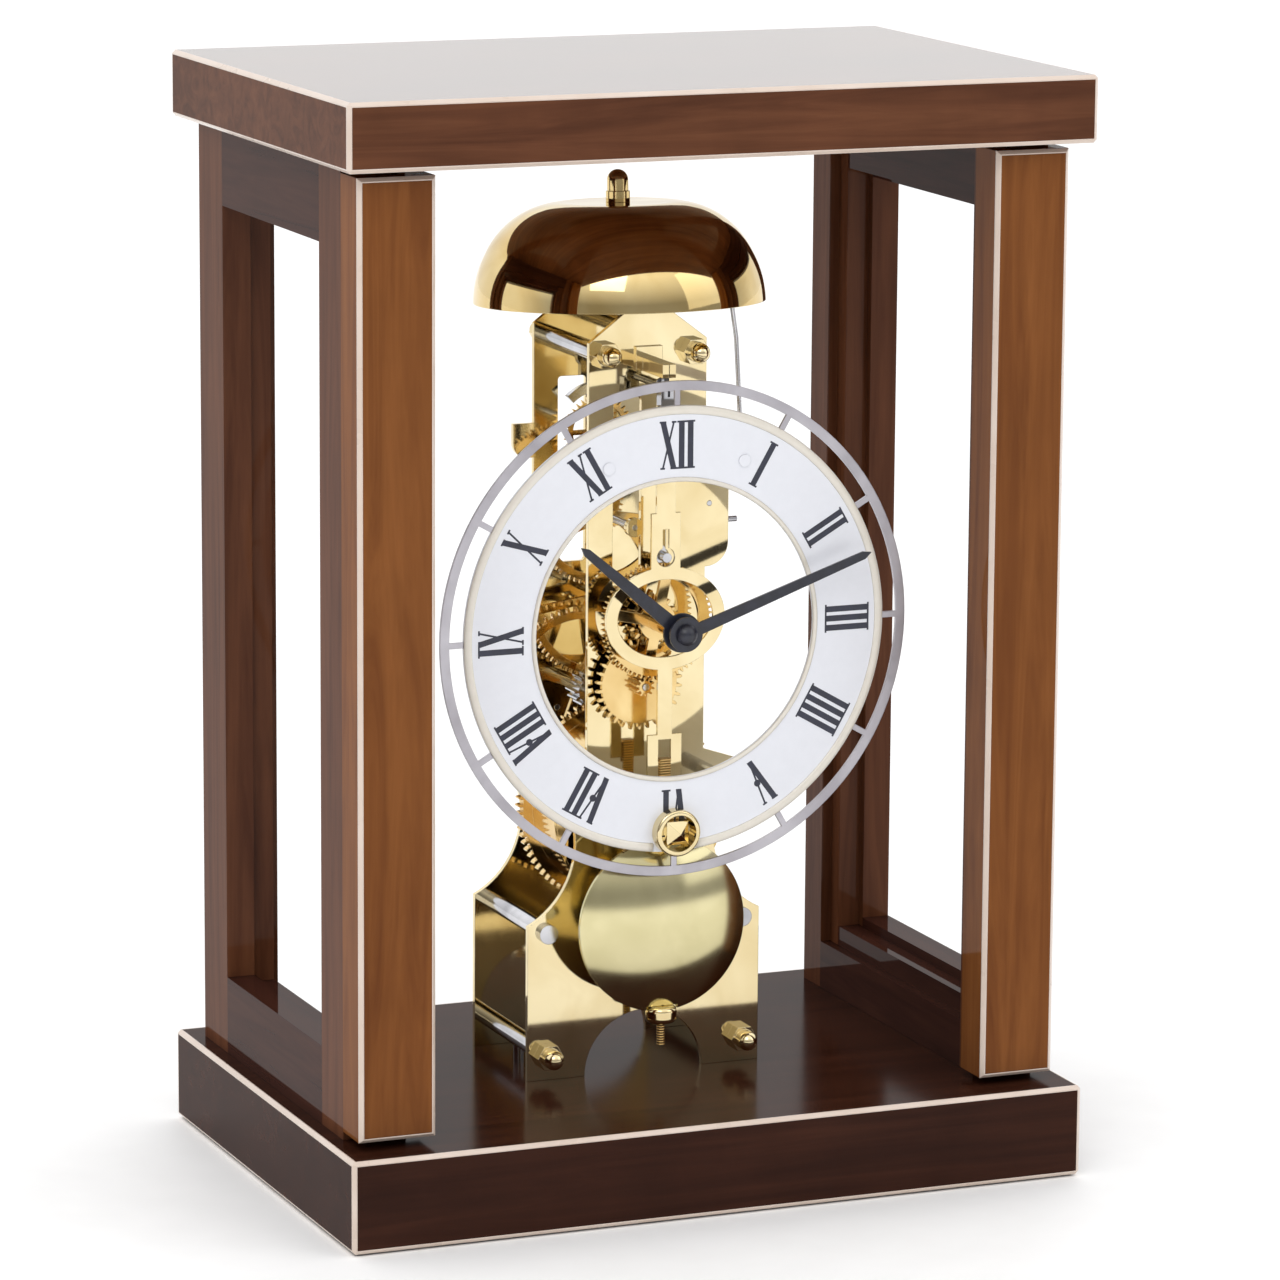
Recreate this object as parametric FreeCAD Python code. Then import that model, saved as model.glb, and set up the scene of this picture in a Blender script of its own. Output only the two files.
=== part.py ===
"""Skeleton clock: an open wooden case around a two-plate brass movement with a bell and a short pendulum.

Millimetres. +X is to the right of the dial, +Y to the back, +Z up. The origin is under the middle of the
base, on the surface that the clock stands on.
"""
import FreeCAD, Part
import math
import os

V = FreeCAD.Vector

# ---------------------------------------------------------------- case
case_width = 210.0
base_depth = 145.0
top_depth = 141.0
base_thickness = 25.0
top_thickness = 18.0
side_height = 256.5
foot_proud = 0.5
foot_recess = 1.5
foot_radius = 7.0
foot_inset = 24.0
strip = 1.2
strip_chamfer = 0.9
side_reveal = 5.0
side_layers = (8.0, 6.5, 3.0)
front_reveal = 21.5
back_reveal = 10.1
front_stile_layers = (16.5, 14.0, 8.5)
back_stile_layers = (19.5, 17.0, 11.4)
rail_layers = (21.5, 19.0, 13.5)
pilaster_width = 21.2
pilaster_depth = 13.0
pilaster_gap_low = 2.3
pilaster_gap_high = 1.9
case_screw_radius = 1.75
case_screw_head = (3.5, 2.5)
case_screw_sink = 1.0
case_screw_grip = 20.0

# ---------------------------------------------------------------- plates and pillars
plate_thickness = 1.5
front_plate_y = -15.0
plate_gap = 38.5
arch_radius = 17.3
foot_half = 34.0
foot_height = 43.2
waist = (20.2, 65.5)
lobe = (29.8, 84.5)
column_half = 17.0
column_foot = 88.8
lug_right = (23.8, 139.0, 179.5, 6.5)
lug_left = (23.0, 164.5, 174.0, 4.0)
shoulder_height = 201.5
neck_half = 7.0
neck_foot = 209.0
neck_height = 218.5
window = (-9.9, -1.8, 135.0, 186.5)
window_boss = 2.6
window_round = 1.0
pillar_radius = 2.5
stub_radius = 1.5
upper_pillar = (12.7, 198.3)
middle_pillar = (28.5, 41.0)
lower_pillar = (28.5, 7.0)
rivet_head = (2.65, 1.8)
nut_flats = 6.6
nut_hex_length = 3.6
nut_dome_radius = 2.7
nut_neck_length = 2.2
movement_screw_radius = 1.4

# ---------------------------------------------------------------- fits
running_fit = 0.03
end_play = 0.15
pivot_radius = 0.7
arbor_radius = 1.1

# ---------------------------------------------------------------- wheel train
barrel_height = 71.5
centre_height = 126.5
great_teeth, second_leaves, great_module = 84, 12, 0.68
second_teeth, centre_leaves, second_module = 60, 10, 0.72
centre_teeth, third_leaves, centre_module = 80, 8, 0.56
third_teeth, escape_leaves, third_module = 78, 6, 0.50
cannon_teeth, minute_teeth, cannon_centres = 16, 30, 18.0
minute_leaves, hour_teeth = 10, 64
third_offset = -3.5
escape_offset = 0.0
minute_offset = -3.6
wheel_share, pinion_share = 0.40, 0.38
wheel_tip, pinion_tip = 0.45, 0.50
wheel_addendum, pinion_addendum = 1.0, 0.6
wheel_dedendum, pinion_dedendum = 1.1, 1.25
great_wheel_y = 18.0
great_wheel_thickness = 2.5
drum_length = 16.0
drum_radius = 25.0
drum_wall = 1.2
cover_thickness = 1.2
barrel_arbor_radius = 3.0
spring_strip = 0.5
spring_turns = 9
spring_steps = 24
spring_core = 5.0
spring_clear = 0.4
third_wheel_y = 21.5
second_wheel_y = 23.7
centre_wheel_y = 29.0
escape_wheel_y = 33.0
third_wheel_thickness = 1.2
second_wheel_thickness = 1.5
centre_wheel_thickness = 1.3
escape_wheel_thickness = 0.9
escape_teeth = 36
escape_radius = 10.2
escape_root = 8.9
escape_tooth = (-0.34, -0.04, 0.04, 0.18)
escape_rim = 1.3
escape_hub = 2.2
escape_spoke_half = 0.7
escape_arbor_radius = 0.8
pinion_reach = 1.4
leaf_lead = {"second": 1.0, "centre": 0.8, "third": 1.3}

# ---------------------------------------------------------------- anchor, crutch, pendulum
anchor_height = 190.8
anchor_thickness = 2.1
pallet_inner, pallet_outer = 11.35, 13.9
pallet_half_angle = 43.0
anchor_stem_half = 1.6
anchor_stem_bite = 0.6
anchor_hub = 2.6
crutch_gap = 9.6
crutch_thickness = 0.8
crutch_half = 1.1
crutch_hub = 2.2
crutch_pin_drop = 45.9
crutch_pin_radius = 1.3
crutch_pin_proud = 0.9
crutch_eye = 0.8
leader_gap = 12.6
leader_thickness = 0.8
leader_half = 2.75
head_half = 4.2
head_top_drop = 33.9
keyhole_radius = 2.6
keyhole_slot = (1.9, 7.6)
loop_drop = 62.5
loop_half = (17.2, 14.0)
loop_band = 3.4
tail_half = 2.1
fork_drop = 105.7
fork_half = 4.9
fork_height = 11.5
fork_slot_half = 1.85
fork_bar_low = 4.2
fork_bar_high = 1.4
clamp_half = 2.2
clamp_depth = 3.2
clamp_drop = (0.8, 7.0)
clamp_seat = 2.2
cock_arm = (1.9, 3.6)
cock_flange = (3.8, 6.6, 1.0)
cock_front = 0.2
cock_clear = 2.7
suspension_thickness = 0.2
suspension_width = 2.8
suspension_slot_clearance = 0.2
suspension_entry = 1.4
suspension_pin_depth = 0.5
bob_drop = 146.9
bob_radius = 24.0
bob_half_thickness = 6.0
bob_rim_half = 0.5
bob_slot_clearance = 0.15
bob_travel = 1.6
hook_half = 1.5
stirrup_half = 11.5
stirrup_leg = 2.0
stirrup_clear = 5.0
stirrup_inner_height = 16.0
hook_stem_half = 2.0
hook_rod_radius = 1.1
hook_rod_end = 180.3
hook_rod_grip = 6.0
hook_stem_rise = 3.0
hook_lip = 1.4
head_lap = 1.0
nut_radius = 4.3
nut_height = 4.8
nut_round = 1.5
nut_recess_clearance = 0.3
nut_top_drop = 169.3

# ---------------------------------------------------------------- motion work, hands, dial
cannon_bore = 1.0
cannon_tube = 1.8
cannon_gap = 2.4
cannon_length = 2.2
minute_wheel_gap = 2.9
motion_thickness = 1.3
hour_wheel_gap = 6.7
hour_pipe = 2.6
minute_stud_radius = 0.9
minute_stud_shoulder = 1.6
hour_hand_gap = 24.3
minute_hand_gap = 27.1
hand_thickness = 0.8
hand_nut_radius = 2.8
hand_nut_length = 2.6
hand_nut_dome = 3.25
hand_nut_cap = 0.6
minute_hand_length = 56.9
minute_hand_boss = 4.7
minute_hand_widths = (1.7, 1.05)
minute_hand_angle = 70.6
hour_hand_length = 38.1
hour_hand_boss = 5.3
hour_hand_widths = (2.15, 1.1)
hour_hand_angle = -49.5
hand_point = 2.2
dial_gap = 19.7
dial_thickness = 0.8
dial_inner = 40.0
dial_outer = 60.5
ring_inner = 64.5
ring_outer = 67.1
tab_half = 0.8
dial_post_radius = 2.0
dial_post_top = (19.5, 171.1)
dial_post_low = (20.0, 81.5)
dial_screw_head = (1.7, 0.4)
dial_screw_radius = 0.8
dial_screw_grip = 5.0
eyelet_outer = 6.4
eyelet_inner = 5.0
eyelet_neck = 5.6
eyelet_front = 3.5
eyelet_back = 0.7
eyelet_round = 0.8
winding_square = 6.4
winding_neck = 2.0
winding_point = 2.2
winding_front = 25.2
neck_reach = (5.0, 15.0)
arbor_back_proud = 1.6
hour_leaf_lead = 0.5
stud_proud = 0.4

# ---------------------------------------------------------------- strike
bell_radius = 39.6
bell_rim_height = 209.5
bell_shape = ((0.972, 7.4), (0.910, 13.4), (0.717, 22.4), (0.330, 26.7))
bell_crown_height = 26.7
bell_lean = 3.0
bell_wall = 1.2
bell_crown_centre = (14.0, 1.0)
bell_post_radius = 2.0
bell_post_proud = 4.0
bell_collar_radius = 3.5
bell_bar = (3.2, 4.5)
bell_bar_drop = 1.0
bell_nut_foot = (3.3, 3.0)
bell_nut_head = (2.9, 8.8)
hammer_height = 156.3
hammer_x = 18.2
hammer_arbor_radius = 1.1
hammer_collar = (2.5, 2.0)
hammer_y = 19.0
hammer_wire_radius = 0.65
hammer_wire_path = ((2.2, 0.0), (11.8, 8.2), (17.7, 17.2), (17.5, 21.6), (16.3, 41.2), (14.9, 50.4))
hammer_head_radius = 3.0
hammer_head_length = 8.1
hammer_head_rise = 61.2
hammer_head_clear = 1.0
hammer_head_chamfer = 0.6
hammer_tail_path = ((0.0, 0.0), (-9.2, -11.8), (-14.7, -16.8), (-14.2, -23.3))
hammer_tail_half = 0.8
hammer_tail_y = 1.2
hammer_tail_thickness = 1.0
hammer_tail_collar = 1.9
strike_cam_radius = 6.0
strike_cam_offset = 2.6
strike_cam_hub = 3.0
strike_cam_y = 0.9
strike_cam_thickness = 1.6
stop_pin = (0.8, 2.6)
stop_pin_height = 151.5

# ---------------------------------------------------------------- winding click
ratchet_teeth = 24
ratchet_radius = 12.0
ratchet_root = 10.6
ratchet_gap = 0.7
ratchet_thickness = 2.0
click_angle = 128.0
click_distance = 17.5
click_tip_clearance = 0.25
click_screw_radius = 1.0
click_boss = 2.4
click_spring_width = 1.0
click_spring_clear = 5.0
click_spring_pin = 0.8
click_spring_reach = 13.0
click_spring_rise = 9.0
click_beak = 78.0
click_heel = (0.9, 1.6)
click_screw_play = 0.2
click_screw_head = 1.0
click_washer_radius = 1.8
click_washer_play = 0.1
click_spring_pins_x = (-3.0, 1.0)
click_spring_foot = 1.8

# ---------------------------------------------------------------- worked out from the sizes above
base_top = foot_proud + base_thickness
side_top = base_top + side_height
side_outer = case_width / 2 - side_reveal
frame_front = -base_depth / 2 + front_reveal
frame_back = base_depth / 2 - back_reveal
plate_back = front_plate_y + plate_thickness
back_plate_y = plate_back + plate_gap
back_face = back_plate_y + plate_thickness
middle_y = plate_back + plate_gap / 2
pivot_ends = (front_plate_y, back_face)
arbor_ends = (plate_back + end_play, back_plate_y - end_play)
dial_front = front_plate_y - dial_gap - dial_thickness
dial_back = front_plate_y - dial_gap
leader_y = front_plate_y - leader_gap - leader_thickness
hook_y = leader_y + leader_thickness
bob_y = hook_y + leader_thickness / 2


def above(point):
    """A point (x, height over the base top) as (x, z)."""
    return (point[0], base_top + point[1])


def from_front(first, thickness):
    """Y range of a layer that starts this far behind the front plate's back face."""
    return (plate_back + first, plate_back + first + thickness)


def before_plate(gap, thickness):
    """Y range of a layer whose back is this far in front of the front plate."""
    return (front_plate_y - gap - thickness, front_plate_y - gap)


def beyond(start, distance, dx, side):
    """Point at a distance from start whose x is dx, above it (side 1) or below it (side -1)."""
    return (dx, start[1] + side * math.sqrt(distance ** 2 - (dx - start[0]) ** 2))


def crossing(first, first_distance, second, second_distance):
    """Left-hand meeting point of two circles about points one above the other."""
    span = second[1] - first[1]
    rise = (first_distance ** 2 - second_distance ** 2 + span ** 2) / (2 * span)
    return (first[0] - math.sqrt(first_distance ** 2 - rise ** 2), first[1] + rise)


def heading(start, end):
    """Angle from +X towards +Z of the line between two points."""
    return math.atan2(end[1] - start[1], end[0] - start[0])


barrel_at = above((0.0, barrel_height))
centre_at = above((0.0, centre_height))
great_distance = great_module * (great_teeth + second_leaves) / 2
second_distance = second_module * (second_teeth + centre_leaves) / 2
second_at = crossing(barrel_at, great_distance, centre_at, second_distance)
third_at = beyond(centre_at, centre_module * (centre_teeth + third_leaves) / 2, third_offset, 1)
escape_at = beyond(third_at, third_module * (third_teeth + escape_leaves) / 2, escape_offset, 1)
minute_at = beyond(centre_at, cannon_centres, minute_offset, -1)
cannon_module = 2 * cannon_centres / (cannon_teeth + minute_teeth)
hour_module = 2 * cannon_centres / (minute_leaves + hour_teeth)
anchor_at = above((0.0, anchor_height))
hammer_at = above((hammer_x, hammer_height))


# ---------------------------------------------------------------- shape helpers
def box(x, y, z):
    return Part.makeBox(x[1] - x[0], y[1] - y[0], z[1] - z[0], V(x[0], y[0], z[0]))


def rod(at, radius, y):
    """Round bar along Y through (x, z)."""
    return Part.makeCylinder(radius, y[1] - y[0], V(at[0], y[0], at[1]), V(0, 1, 0))


def upright(at, radius, z):
    """Round bar along Z through (x, y)."""
    return Part.makeCylinder(radius, z[1] - z[0], V(at[0], at[1], z[0]))


def tube(at, outer, inner, y):
    return rod(at, outer, y).cut(rod(at, inner, y))


def join(pieces):
    return pieces[0].multiFuse(pieces[1:]).removeSplitter()


def polygon(points, y):
    """Flat face in an XZ plane."""
    corners = [V(x, y, z) for x, z in points]
    return Part.Face(Part.makePolygon(corners + corners[:1]))


def prism(points, y):
    return polygon(points, y[0]).extrude(V(0, y[1] - y[0], 0))


def line(start, end, y):
    return Part.LineSegment(V(start[0], y, start[1]), V(end[0], y, end[1])).toShape()


def arc(start, middle, end, y):
    return Part.Arc(V(start[0], y, start[1]), V(middle[0], y, middle[1]), V(end[0], y, end[1])).toShape()


def strap(start, end, half, y):
    """Flat strap with round ends between two points."""
    angle = heading(start, end) + math.pi / 2
    side = (half * math.cos(angle), half * math.sin(angle))
    corners = [(start[0] + side[0], start[1] + side[1]), (end[0] + side[0], end[1] + side[1]),
               (end[0] - side[0], end[1] - side[1]), (start[0] - side[0], start[1] - side[1])]
    return join([prism(corners, y), rod(start, half, y), rod(end, half, y)])


def turned(shape, at, degrees):
    """Turn clockwise, as seen from the front, about an axis along Y."""
    moved = shape.copy()
    moved.rotate(V(at[0], 0, at[1]), V(0, 1, 0), degrees)
    return moved


def mirrored(shape):
    return shape.mirror(V(0, 0, 0), V(1, 0, 0))


def pair(shape):
    return [shape, mirrored(shape)]


def save(name, *shapes):
    """Write every solid of the shapes as one node."""
    solids = [solid for shape in shapes for solid in shape.Solids]
    node = solids[0] if len(solids) == 1 else Part.makeCompound(solids)
    node.exportStep("parts/" + name + ".step")


# ---------------------------------------------------------------- gears
def toothed_points(at, teeth, module, form, phase):
    """Outline of a toothed disc; form is tooth share of pitch, tip share of tooth, addendum, dedendum."""
    share, tip, addendum, dedendum = form
    pitch = module * teeth / 2
    half = math.pi * share / teeth
    root = pitch - dedendum * module
    crest = pitch + addendum * module
    rising = ((-half, root), (-half, pitch), (-tip * half, crest))
    flank = rising + tuple((-offset, radius) for offset, radius in reversed(rising))
    points = []
    for tooth in range(teeth):
        middle = phase + 2 * math.pi * tooth / teeth
        for offset, radius in flank:
            angle = middle + offset
            points.append((at[0] + radius * math.cos(angle), at[1] + radius * math.sin(angle)))
    return points


def crossed_out(face, at, rim, hub, spokes, spoke_half, first, y):
    """Cut the windows between a wheel's spokes out of its face."""
    windows = Part.Face(Part.Wire(Part.makeCircle(rim, V(at[0], y, at[1]), V(0, 1, 0))))
    solid_parts = [Part.Face(Part.Wire(Part.makeCircle(hub, V(at[0], y, at[1]), V(0, 1, 0))))]
    for spoke in range(spokes):
        angle = first + 2 * math.pi * spoke / spokes
        along = (math.cos(angle), math.sin(angle))
        side = (-spoke_half * along[1], spoke_half * along[0])
        reach = rim + spoke_half
        end = (at[0] + reach * along[0], at[1] + reach * along[1])
        corners = [(at[0] + side[0], at[1] + side[1]), (end[0] + side[0], end[1] + side[1]),
                   (end[0] - side[0], end[1] - side[1]), (at[0] - side[0], at[1] - side[1])]
        solid_parts.append(polygon(corners, y))
    return face.cut(windows.cut(solid_parts))


def wheel(at, teeth, module, phase, y, bore, spokes=4, hub=3.2, spoke_half=1.1, rim=2.0):
    """Spoked wheel with a bore; phase is the direction that the middle of one tooth points in."""
    form = (wheel_share, wheel_tip, wheel_addendum, wheel_dedendum)
    face = polygon(toothed_points(at, teeth, module, form, phase), y[0])
    rim_radius = module * (teeth / 2 - wheel_dedendum) - rim
    face = crossed_out(face, at, rim_radius, hub, spokes, spoke_half, phase, y[0])
    return face.extrude(V(0, y[1] - y[0], 0)).cut(rod(at, bore, y))


def pinion(at, leaves, module, phase, y):
    """Leaves cut on an arbor; phase is the direction that the middle of one leaf points in."""
    form = (pinion_share, pinion_tip, pinion_addendum, pinion_dedendum)
    return prism(toothed_points(at, leaves, module, form, phase), y)


def gap_phase(teeth, direction):
    """Phase that turns the middle of a gap to a direction."""
    return direction + math.pi / teeth


def arbor(at, radius, leaves_shape):
    """Arbor between the plates with a thinner pivot in each, and its pinion."""
    return join([rod(at, pivot_radius, pivot_ends), rod(at, radius, arbor_ends), leaves_shape])


# ---------------------------------------------------------------- case
def edged_slab(half_x, half_y, z):
    """A slab with every edge rebated, and the one frame of chamfered strips that fills the rebates."""
    x = (-half_x, half_x)
    y = (-half_y, half_y)
    inner_x = (-half_x + strip, half_x - strip)
    inner_y = (-half_y + strip, half_y - strip)
    inner_z = (z[0] + strip, z[1] - strip)
    slab = join([box(x, inner_y, inner_z), box(inner_x, y, inner_z), box(inner_x, inner_y, z)])
    whole = box(x, y, z)
    strips = whole.makeChamfer(strip_chamfer, whole.Edges).cut(slab)
    return slab, strips


def foot_places():
    half_x = case_width / 2 - foot_inset
    half_y = base_depth / 2 - foot_inset
    return [(sx * half_x, sy * half_y) for sx in (-1, 1) for sy in (-1, 1)]


def case_screw_places():
    """Under the middle of each stile."""
    x = side_outer - side_layers[0] / 2
    front = frame_front + front_stile_layers[2] / 2
    back = frame_back - back_stile_layers[2] / 2
    return [(sx * x, y) for sx in (-1, 1) for y in (front, back)]


def case_screw(at):
    head_z = foot_proud + case_screw_sink
    head = upright(at, case_screw_head[0], (head_z, head_z + case_screw_head[1]))
    shank = upright(at, case_screw_radius, (head_z, base_top + case_screw_grip))
    return head.fuse(shank).removeSplitter()


def movement_screw(side):
    """Comes up through the base into a lower pillar."""
    at = (side * lower_pillar[0], middle_y)
    head_z = foot_proud + case_screw_sink
    head = upright(at, case_screw_head[0], (head_z, head_z + case_screw_head[1]))
    tip = base_top + lower_pillar[1]
    return head.fuse(upright(at, movement_screw_radius, (head_z, tip))).removeSplitter()


def screw_sinks(places, radius):
    """Counterbored holes in the base, open to below."""
    sinks = []
    head_top = foot_proud + case_screw_sink + case_screw_head[1]
    for at in places:
        sinks.append(upright(at, case_screw_head[0], (foot_proud, head_top)))
        sinks.append(upright(at, radius, (foot_proud, base_top)))
    return sinks


def side_frame():
    """Right-hand side frame: two stiles and two rails, stepped in three layers round the window."""
    outer = side_outer
    pieces = {"front_stile": [], "back_stile": [], "lower_rail": [], "upper_rail": []}
    layers = zip(side_layers, front_stile_layers, back_stile_layers, rail_layers)
    for thickness, front, back, rail in layers:
        x = (outer - thickness, outer)
        full_z = (base_top, side_top)
        between = (frame_front + front, frame_back - back)
        pieces["front_stile"].append(box(x, (frame_front, frame_front + front), full_z))
        pieces["back_stile"].append(box(x, (frame_back - back, frame_back), full_z))
        pieces["lower_rail"].append(box(x, between, (base_top, base_top + rail)))
        pieces["upper_rail"].append(box(x, between, (side_top - rail, side_top)))
        outer -= thickness
    return {name: join(steps) for name, steps in pieces.items()}


def pilaster():
    """Right-hand pilaster on the face of the front stile, and the frame of strips round its own face."""
    x = (side_outer - pilaster_width, side_outer)
    y = (frame_front - pilaster_depth, frame_front)
    z = (base_top + pilaster_gap_low, side_top - pilaster_gap_high)
    whole = box(x, y, z)
    front_edges = [edge for edge in whole.Edges if all(abs(v.Y - y[0]) < 1e-6 for v in edge.Vertexes)]
    core_x = (x[0] + strip, x[1] - strip)
    core_z = (z[0] + strip, z[1] - strip)
    core = box(x, (y[0] + strip, y[1]), z).fuse(box(core_x, y, core_z)).removeSplitter()
    return core, whole.makeChamfer(strip_chamfer, front_edges).cut(core)


def build_case():
    base_z = (foot_proud, base_top)
    base, base_strips = edged_slab(case_width / 2, base_depth / 2, base_z)
    feet = [upright(at, foot_radius, (0.0, foot_proud + foot_recess)) for at in foot_places()]
    movement_places = [(side * lower_pillar[0], middle_y) for side in (-1, 1)]
    sinks = screw_sinks(case_screw_places(), case_screw_radius)
    sinks += screw_sinks(movement_places, movement_screw_radius)
    save("base_slab", base.cut(feet + sinks))
    save("base_edge_inlay", base_strips)
    save("base_feet", *feet)
    top, top_strips = edged_slab(case_width / 2, top_depth / 2, (side_top, side_top + top_thickness))
    save("top_slab", top)
    save("top_edge_inlay", top_strips)
    screws = [case_screw(at) for at in case_screw_places()]
    save("base_screws", *screws, movement_screw(-1), movement_screw(1))
    pieces = {name: pair(piece) for name, piece in side_frame().items()}
    for name in ("front_stile", "back_stile"):
        save("right_" + name, pieces[name][0].cut(screws))
        save("left_" + name, pieces[name][1].cut(screws))
    save("lower_rails", *pieces["lower_rail"])
    save("upper_rails", *pieces["upper_rail"])
    core, strips = pilaster()
    save("pilasters", *pair(core))
    save("pilaster_inlays", *pair(strips))


# ---------------------------------------------------------------- plates
def half_outline(lug, y):
    """One half of a plate's outline, from the foot arch up to the neck's top corner, as if on the right."""
    foot_in = above((arch_radius, 0.0))
    foot_out = above((foot_half, 0.0))
    foot_top = above((foot_half, foot_height))
    tip = above(lobe)
    column = above((column_half, column_foot))
    reach, low, high, corner = lug
    lug_low = above((column_half, low))
    turn = above((reach - corner, low))
    turned_up = above((reach, low + corner))
    swing = corner * (1 - math.sqrt(0.5))
    turn_middle = above((reach - swing, low + swing))
    edges = [line(foot_in, foot_out, y), line(foot_out, foot_top, y), arc(foot_top, above(waist), tip, y),
             line(tip, column, y), line(column, lug_low, y), line(lug_low, turn, y),
             arc(turn, turn_middle, turned_up, y)]
    path = [turned_up, above((reach, high)), above((column_half, high)),
            above((column_half, shoulder_height)), above((neck_half, neck_foot)), above((neck_half, neck_height))]
    edges += [line(start, end, y) for start, end in zip(path, path[1:])]
    return edges


def mirror_edges(edges):
    return [edge.mirror(V(0, 0, 0), V(1, 0, 0)) for edge in edges]


def blank_plate(y):
    """Plate without holes: arched foot, waist, column, lugs, shoulders and neck."""
    arch = arc(above((-arch_radius, 0.0)), above((0.0, arch_radius)), above((arch_radius, 0.0)), y)
    bridge = line(above((neck_half, neck_height)), above((-neck_half, neck_height)), y)
    outline = [arch] + half_outline(lug_right, y) + [bridge] + mirror_edges(half_outline(lug_left, y))
    wire = Part.Wire(Part.__sortEdges__(outline))
    return Part.Face(wire).extrude(V(0, plate_thickness, 0))


def train_holes(y):
    """Pivot holes of the arbors that run in both plates."""
    places = (centre_at, second_at, third_at, escape_at, anchor_at, hammer_at)
    return [rod(at, pivot_radius + running_fit, y) for at in places]


def pillar_places():
    return [above((side * x, height)) for x, height in (upper_pillar, middle_pillar, lower_pillar)
            for side in (-1, 1)]


def window_cut(y):
    """Tall window with rounded corners beside the upper arbors."""
    opening = box(window[:2], y, (base_top + window[2], base_top + window[3]))
    upright_edges = [edge for edge in opening.Edges if abs(edge.Vertexes[0].Y - edge.Vertexes[-1].Y) > 0.1]
    return opening.makeFillet(window_round, upright_edges)


def dial_post_places():
    return [above((side * x, height)) for x, height in (dial_post_top, dial_post_low) for side in (-1, 1)]


def build_plates():
    front_y = (front_plate_y, plate_back)
    back_y = (back_plate_y, back_face)
    for name, y in (("front_plate", front_y), ("back_plate", back_y)):
        opening = window_cut(y).cut(rod(third_at, window_boss, y))
        holes = train_holes(y) + [rod(at, stub_radius, y) for at in pillar_places()]
        holes.append(rod(barrel_at, barrel_arbor_radius + running_fit, y))
        holes.append(rod((0.0, bell_bar_z()), stub_radius, y))
        if name == "front_plate":
            holes.append(rod(minute_at, minute_stud_radius, y))
            holes.append(rod(centre_at, cannon_bore + running_fit, y))
            holes.append(rod(anchor_at, arbor_radius + running_fit, y))
            holes += [rod(at, stub_radius, y) for at in dial_post_places()]
        else:
            holes.append(rod(click_at(), click_screw_radius, y))
            holes += [rod(at, click_spring_pin, y) for at in click_spring_pins()]
        save(name, blank_plate(y[0]).cut([opening] + holes))
    build_pillars()


def build_pillars():
    pillars = []
    inner = (plate_back, back_plate_y)
    nut_reach = nut_hex_length + nut_neck_length
    for at in pillar_places():
        body = rod(at, pillar_radius, inner)
        if abs(at[1] - base_top - middle_pillar[1]) < 0.01:
            reach = (front_plate_y - rivet_head[1], back_face + rivet_head[1])
            heads = [rod(at, rivet_head[0], (reach[0], front_plate_y)),
                     rod(at, rivet_head[0], (back_face, reach[1]))]
            pillars.append(join([body, rod(at, stub_radius, reach)] + heads))
        else:
            stub = rod(at, stub_radius, (front_plate_y - nut_reach, back_face + nut_reach))
            pillars.append(join([body, stub]))
    screws = [movement_screw(-1), movement_screw(1)]
    save("plate_pillars", *[pillar.cut(screws) for pillar in pillars])
    nuts = []
    for at in pillar_places():
        if abs(at[1] - base_top - middle_pillar[1]) > 0.01:
            nuts.append(acorn_nut(at, front_plate_y, -1))
            nuts.append(acorn_nut(at, back_face, 1))
    save("acorn_nuts", *nuts)


def acorn_nut(at, seat_y, way):
    """Hexagon, round neck and dome on a blind hole; way is -1 towards the front."""
    corner = nut_flats / math.sqrt(3)
    angles = [math.radians(60 * k) for k in range(6)]
    points = [(at[0] + corner * math.cos(angle), at[1] + corner * math.sin(angle)) for angle in angles]
    hex_end = seat_y + way * nut_hex_length
    neck_end = hex_end + way * nut_neck_length
    hexagon = prism(points, tuple(sorted((seat_y, hex_end))))
    neck = rod(at, nut_dome_radius, tuple(sorted((hex_end, neck_end))))
    dome = Part.makeSphere(nut_dome_radius, V(at[0], neck_end, at[1]))
    hole = rod(at, stub_radius, tuple(sorted((seat_y, neck_end))))
    return join([hexagon, neck, dome]).cut(hole)


# ---------------------------------------------------------------- power: barrel, arbor, ratchet and click
def build_barrel():
    """Drum with the great wheel on its back end, its cover, the spring and the arbor through all."""
    wheel_y = from_front(great_wheel_y, great_wheel_thickness)
    drum_y = (wheel_y[0] - drum_length, wheel_y[0])
    form = (wheel_share, wheel_tip, wheel_addendum, wheel_dedendum)
    phase = heading(barrel_at, second_at)
    toothed = prism(toothed_points(barrel_at, great_teeth, great_module, form, phase), wheel_y)
    inner = drum_radius - drum_wall
    shell = tube(barrel_at, drum_radius, inner, drum_y)
    bore = rod(barrel_at, barrel_arbor_radius + running_fit, (drum_y[0], wheel_y[1]))
    cover_y = (drum_y[0], drum_y[0] + cover_thickness)
    cover = rod(barrel_at, inner + drum_wall / 2, cover_y)
    save("great_wheel", join([toothed, shell]).cut([bore, cover]))
    save("barrel_cover", cover.cut(bore))
    save("mainspring", mainspring(inner, (cover_y[1] + spring_clear, wheel_y[0] - spring_clear)))


def mainspring(outer, y):
    """Spiral strip; its outer end lies against the drum."""
    steps = spring_turns * spring_steps
    edge_out = []
    edge_in = []
    for step in range(steps + 1):
        angle = 2 * math.pi * step / spring_steps
        radius = spring_core + (outer - spring_core) * step / steps
        edge_out.append((barrel_at[0] + radius * math.cos(angle), barrel_at[1] + radius * math.sin(angle)))
        radius -= spring_strip
        edge_in.append((barrel_at[0] + radius * math.cos(angle), barrel_at[1] + radius * math.sin(angle)))
    return prism(edge_out + edge_in[::-1], y)


def ratchet_y():
    return (back_face + ratchet_gap, back_face + ratchet_gap + ratchet_thickness)


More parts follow.
